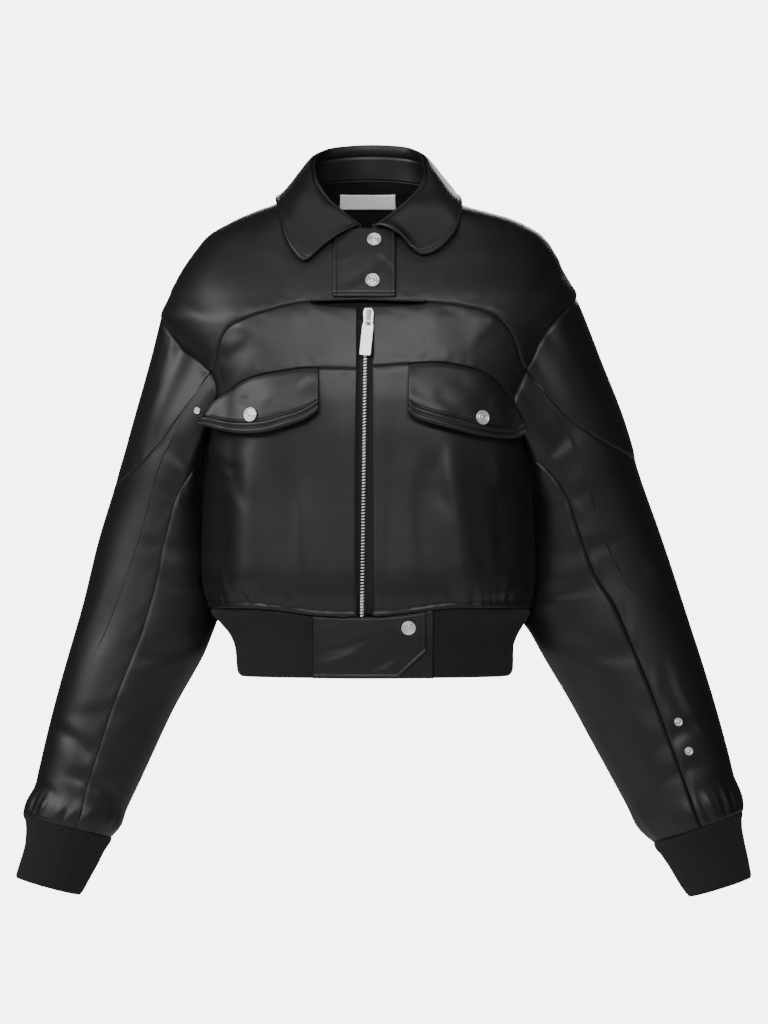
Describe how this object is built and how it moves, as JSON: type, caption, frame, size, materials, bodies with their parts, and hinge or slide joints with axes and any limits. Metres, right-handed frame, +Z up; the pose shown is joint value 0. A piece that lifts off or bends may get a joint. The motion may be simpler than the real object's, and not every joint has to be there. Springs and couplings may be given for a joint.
{
  "type": "bomber jacket",
  "caption": "Cropped satin bomber jacket, hollow as when worn, with a turned-down collar, snap tab, front zip, snapped pocket flaps and ribbed cuffs and hem.",
  "frame": {"origin": "middle of the neck opening, where the wearer carries the jacket", "axes": "+Z up, -Y out of the front, +X the right of someone facing the front"},
  "size_m": [0.771, 0.2407, 0.788],
  "materials": {
    "satin": "black satin weave, soft sheen",
    "knit_rib": "black matt knitted rib",
    "zip_tape": "black woven tape",
    "label_cloth": "white woven, blank",
    "bright_metal": "polished nickel"
  },
  "bodies": {
    "garment": {"front_yoke_left": "satin", "chest_left": "satin", "lower_front_left": "satin", "sleeve_cap_left": "satin", "sleeve_upper_left": "satin", "sleeve_under_left": "satin", "cuff_left": "knit_rib", "pocket_flap_left": "satin", "front_yoke_right": "satin", "chest_right": "satin", "lower_front_right": "satin", "sleeve_cap_right": "satin", "sleeve_upper_right": "satin", "sleeve_under_right": "satin", "cuff_right": "knit_rib", "pocket_flap_right": "satin", "back": "satin", "hem_rib_left": "knit_rib", "hem_rib_back": "knit_rib", "hem_rib_right": "knit_rib", "collar_fall": "satin", "collar_stand": "satin", "neck_tab": "satin", "slit_underlay": "satin", "slit_piping": "satin", "label": "label_cloth", "hem_tab": "satin", "hem_underlap": "satin", "zip_tape_left": "zip_tape", "zip_tape_right": "zip_tape", "zip_chain": "bright_metal", "zip_slider": "bright_metal", "snap_neck_upper": "bright_metal", "snap_neck_lower": "bright_metal", "snap_hem": "bright_metal", "snap_pocket_left": "bright_metal", "snap_pocket_right": "bright_metal", "stud_sleeve_upper": "bright_metal", "stud_sleeve_lower": "bright_metal", "stud_side_left": "bright_metal"},
    "pull_tab": {"zip_pull": "bright_metal"}
  },
  "joints": [
    {"name": "pull_tab_swing", "type": "hinge", "parent": "garment", "child": "pull_tab", "pos_m": [0.0006, -0.10872, -0.13108], "axis": [-1, 0, 0], "range_deg": [0, 150]}
  ]
}
